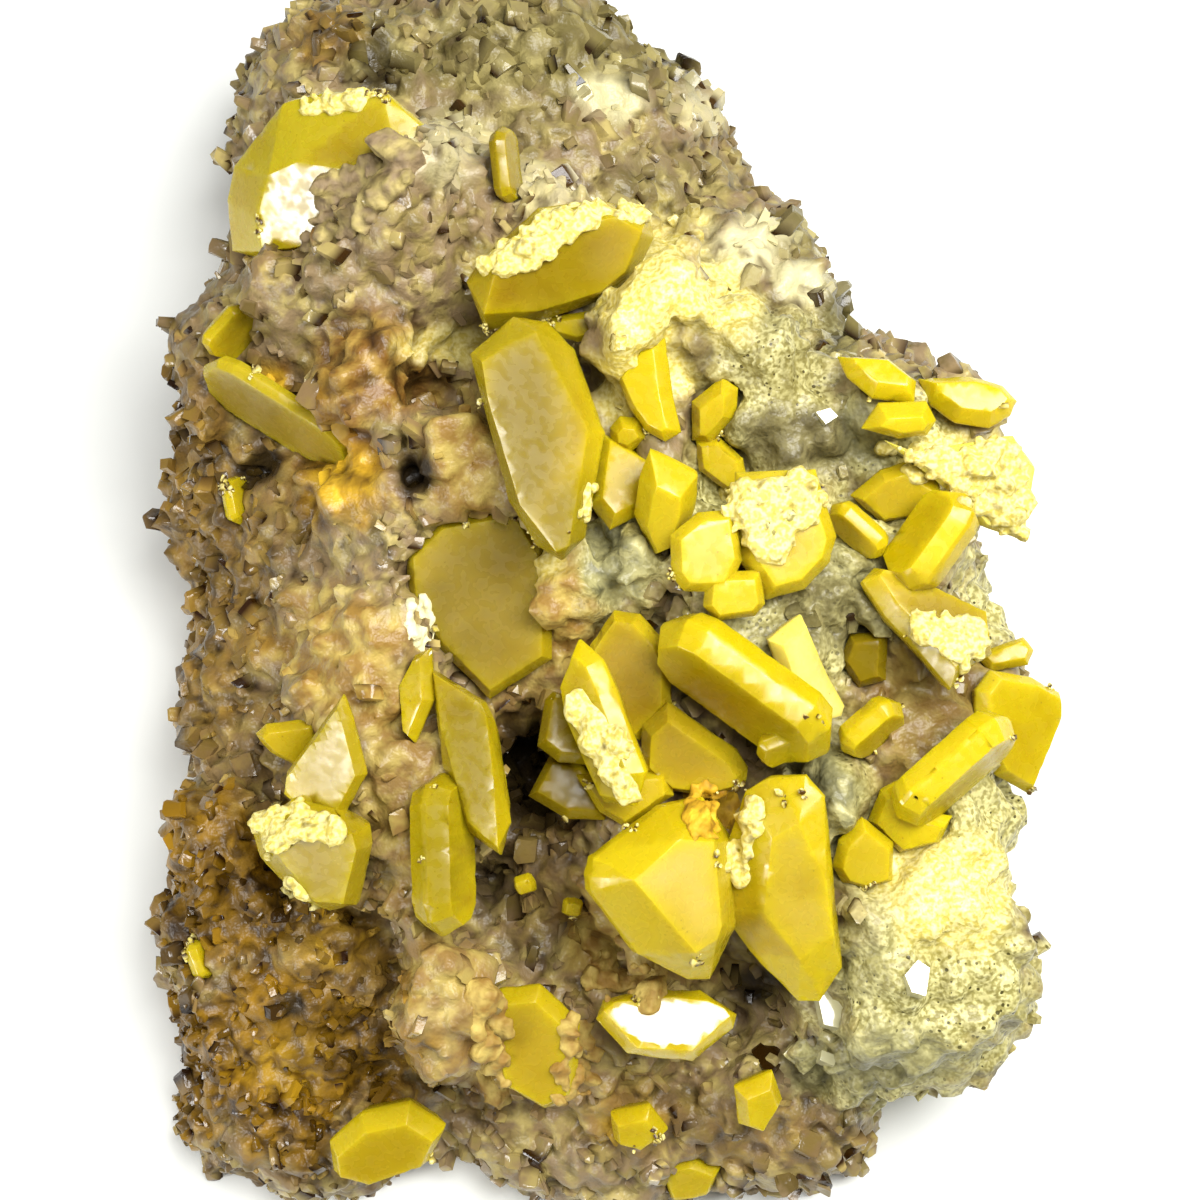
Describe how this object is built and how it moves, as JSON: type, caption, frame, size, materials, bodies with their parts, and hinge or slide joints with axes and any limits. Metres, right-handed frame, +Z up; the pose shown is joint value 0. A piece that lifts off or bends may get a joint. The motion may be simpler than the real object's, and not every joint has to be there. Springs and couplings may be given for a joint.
{
  "type": "mineral specimen",
  "caption": "Loose druse-covered rock with tabular yellow wulfenite crystals on its upper side, resting on a flat underside.",
  "frame": {"origin": "on the flat underside, below the middle of the specimen", "axes": "+Z up from the underside; +Y along the specimen, towards its lower, crystal-free end; +X across it"},
  "size_m": [0.0646, 0.0991, 0.0414],
  "materials": {
    "matrix": "rough, drusy",
    "wulfenite": "resinous, translucent",
    "wulfenite_amber": "resinous, translucent",
    "wulfenite_cream": "frosted"
  },
  "bodies": {
    "root": {"amber_plate": "wulfenite_amber", "arch_plate": "wulfenite", "bar_apron": "wulfenite", "big_block": "wulfenite", "bottom_left_chip": "wulfenite", "brown_face": "wulfenite_amber", "corner_block": "wulfenite", "corner_end": "wulfenite", "corner_plate": "wulfenite", "cream_sheet": "wulfenite_cream", "crusted_blade": "wulfenite", "dull_block": "wulfenite", "edge_block": "wulfenite", "edge_chips": "wulfenite", "fan_right": "wulfenite", "foot_end": "wulfenite", "foot_left": "wulfenite", "foot_middle": "wulfenite", "foot_plate": "wulfenite", "foot_right": "wulfenite", "green_rod": "wulfenite", "inner_foot": "wulfenite_amber", "inner_plate": "wulfenite", "kite_chip": "wulfenite", "leaning_plate": "wulfenite", "left_blade": "wulfenite", "left_block": "wulfenite", "long_bar": "wulfenite", "low_left_chip": "wulfenite", "low_plate": "wulfenite", "matrix": "matrix", "mirror_plate": "wulfenite", "outer_chip": "wulfenite", "outer_plate": "wulfenite", "pale_plate": "wulfenite_cream", "ridge_blade": "wulfenite", "right_blade": "wulfenite", "shaded_plate": "wulfenite", "shelf_plate": "wulfenite", "short_rod": "wulfenite", "slim_plate": "wulfenite", "spike": "wulfenite", "tall_plate": "wulfenite", "twin_right": "wulfenite", "under_wedge": "wulfenite", "vug_cube": "wulfenite", "vug_cube_low": "wulfenite", "wedge_plate": "wulfenite"}
  },
  "joints": []
}
